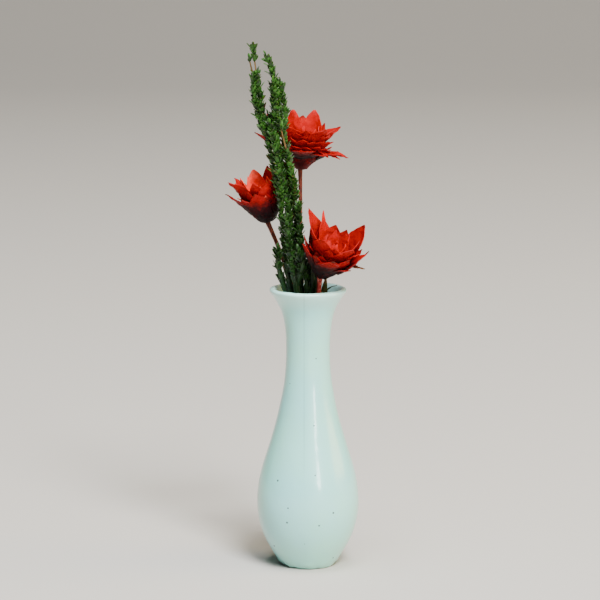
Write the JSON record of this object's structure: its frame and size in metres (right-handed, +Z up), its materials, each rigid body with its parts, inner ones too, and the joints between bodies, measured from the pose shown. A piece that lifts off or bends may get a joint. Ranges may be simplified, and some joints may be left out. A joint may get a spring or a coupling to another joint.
{
  "type": "miniature vase of dried flowers",
  "caption": "Dolls' house bottle vase in pale glazed ceramic holding red dried flowers and a bunch of green sprigs; each flower and the sprigs lift out of the neck.",
  "frame": {"origin": "centre of the vase's flat foot, on its underside", "axes": "+Z up along the vase's axis; +X to the vase's right and -Y towards the viewer, with the lowest flower at the front right and the highest at the back"},
  "size_m": [0.0206, 0.0211, 0.0745],
  "materials": {
    "celadon_glaze": "pale blue-green celadon glaze over moulded porcelain, gloss",
    "red_petal": "dyed dried petals, satin",
    "maroon_cup": "dyed dried scales, dark maroon, matte",
    "red_floret": "dyed dried florets, matte",
    "red_stem": "dried flower stem, brown-red, matte",
    "green_sprig": "dyed preserved foliage on thin tan twigs, matte",
    "dry_leaf": "dried curled leaf, brownish green, matte"
  },
  "bodies": {
    "vase": {"vase": "celadon_glaze"},
    "flower_left": {"flower_left_cup": "maroon_cup", "flower_left_disc": "red_floret", "flower_left_petal_01": "red_petal", "flower_left_petal_02": "red_petal", "flower_left_petal_03": "red_petal", "flower_left_petal_04": "red_petal", "flower_left_petal_05": "red_petal", "flower_left_petal_06": "red_petal", "flower_left_petal_07": "red_petal", "flower_left_petal_08": "red_petal", "flower_left_petal_09": "red_petal", "flower_left_petal_10": "red_petal", "flower_left_petal_11": "red_petal", "flower_left_petal_12": "red_petal", "flower_left_petal_13": "red_petal", "flower_left_stem": "red_stem"},
    "flower_back": {"flower_back_cup": "maroon_cup", "flower_back_disc": "red_floret", "flower_back_petal_01": "red_petal", "flower_back_petal_02": "red_petal", "flower_back_petal_03": "red_petal", "flower_back_petal_04": "red_petal", "flower_back_petal_05": "red_petal", "flower_back_petal_06": "red_petal", "flower_back_petal_07": "red_petal", "flower_back_petal_08": "red_petal", "flower_back_petal_09": "red_petal", "flower_back_petal_10": "red_petal", "flower_back_petal_11": "red_petal", "flower_back_petal_12": "red_petal", "flower_back_petal_13": "red_petal", "flower_back_stem": "red_stem"},
    "flower_right": {"flower_right_cup": "maroon_cup", "flower_right_disc": "red_floret", "flower_right_leaf": "dry_leaf", "flower_right_petal_01": "red_petal", "flower_right_petal_02": "red_petal", "flower_right_petal_03": "red_petal", "flower_right_petal_04": "red_petal", "flower_right_petal_05": "red_petal", "flower_right_petal_06": "red_petal", "flower_right_petal_07": "red_petal", "flower_right_petal_08": "red_petal", "flower_right_petal_09": "red_petal", "flower_right_petal_10": "red_petal", "flower_right_petal_11": "red_petal", "flower_right_petal_12": "red_petal", "flower_right_petal_13": "red_petal", "flower_right_stem": "red_stem"},
    "green_sprigs": {"sprig_front": "green_sprig", "sprig_left": "green_sprig", "sprig_middle": "green_sprig", "sprig_right": "green_sprig", "sprig_tall_left": "green_sprig", "sprig_tall_right": "green_sprig"}
  },
  "joints": [
    {"name": "left_flower_lift", "type": "slide", "parent": "vase", "child": "flower_left", "axis": [-0.3443, 0.0804, 0.9354], "range_m": [0, 0.015]},
    {"name": "back_flower_lift", "type": "slide", "parent": "vase", "child": "flower_back", "axis": [0.0018, 0.1985, 0.9801], "range_m": [0, 0.015]},
    {"name": "right_flower_lift", "type": "slide", "parent": "vase", "child": "flower_right", "axis": [0.0446, -0.2164, 0.9753], "range_m": [0, 0.015]},
    {"name": "sprigs_lift", "type": "slide", "parent": "vase", "child": "green_sprigs", "axis": [0, 0, 1], "range_m": [0, 0.015]}
  ]
}
